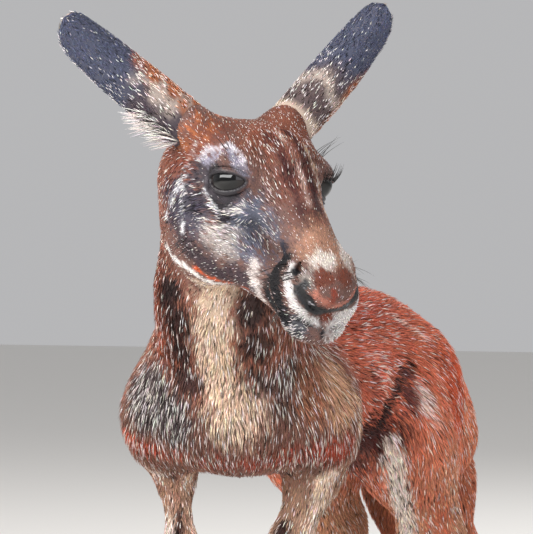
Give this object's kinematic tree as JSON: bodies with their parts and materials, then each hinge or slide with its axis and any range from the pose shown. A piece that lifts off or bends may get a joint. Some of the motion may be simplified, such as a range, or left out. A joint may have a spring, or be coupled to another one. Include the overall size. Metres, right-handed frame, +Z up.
{
  "type": "red kangaroo",
  "caption": "Red kangaroo standing on all fours, head turned to its left, long feet flat and heavy tail laid along the floor; a still, life-size animal.",
  "frame": {"origin": "on the floor, midway along and across the animal's bounding box", "axes": "+Z up from the floor, -Y the way the trunk faces, +X the animal's left"},
  "size_m": [0.3076, 1.3974, 0.7451],
  "materials": {
    "claw_horn": "polished dark horn",
    "eye_wet": "wet, near black",
    "nose_skin": "bare, damp, finely grained",
    "ear_fur": "short slate fur, white fringe at the base",
    "cream_fur": "soft cream and beige fur",
    "foot_fur": "short grizzled fur over bare pads",
    "grizzled_fur": "brown-grey fur with white tips",
    "head_fur": "short russet and slate fur",
    "rust_fur": "rust-red fur"
  },
  "bodies": {
    "root": {"abdomen": "rust_fur", "chest": "grizzled_fur", "claw_fore_left_1": "claw_horn", "claw_fore_left_2": "claw_horn", "claw_fore_left_3": "claw_horn", "claw_fore_left_4": "claw_horn", "claw_fore_left_5": "claw_horn", "claw_fore_right_1": "claw_horn", "claw_fore_right_2": "claw_horn", "claw_fore_right_3": "claw_horn", "claw_fore_right_4": "claw_horn", "claw_fore_right_5": "claw_horn", "claw_hind_left_fifth": "claw_horn", "claw_hind_left_fourth": "claw_horn", "claw_hind_left_second": "claw_horn", "claw_hind_left_third": "claw_horn", "claw_hind_right_fifth": "claw_horn", "claw_hind_right_fourth": "claw_horn", "claw_hind_right_second": "claw_horn", "claw_hind_right_third": "claw_horn", "ear_left": "ear_fur", "ear_right": "ear_fur", "eye_left": "eye_wet", "eye_right": "eye_wet", "forearm_left": "cream_fur", "forearm_right": "cream_fur", "forepaw_left": "foot_fur", "forepaw_right": "foot_fur", "head": "head_fur", "hind_foot_left": "foot_fur", "hind_foot_right": "foot_fur", "lower_jaw": "cream_fur", "neck": "cream_fur", "nose": "nose_skin", "rump": "rust_fur", "shin_left": "rust_fur", "shin_right": "rust_fur", "tail_1": "rust_fur", "tail_2": "rust_fur", "tail_3": "rust_fur", "tail_4": "rust_fur", "thigh_left": "rust_fur", "thigh_right": "rust_fur", "upper_arm_left": "grizzled_fur", "upper_arm_right": "grizzled_fur"}
  },
  "joints": []
}
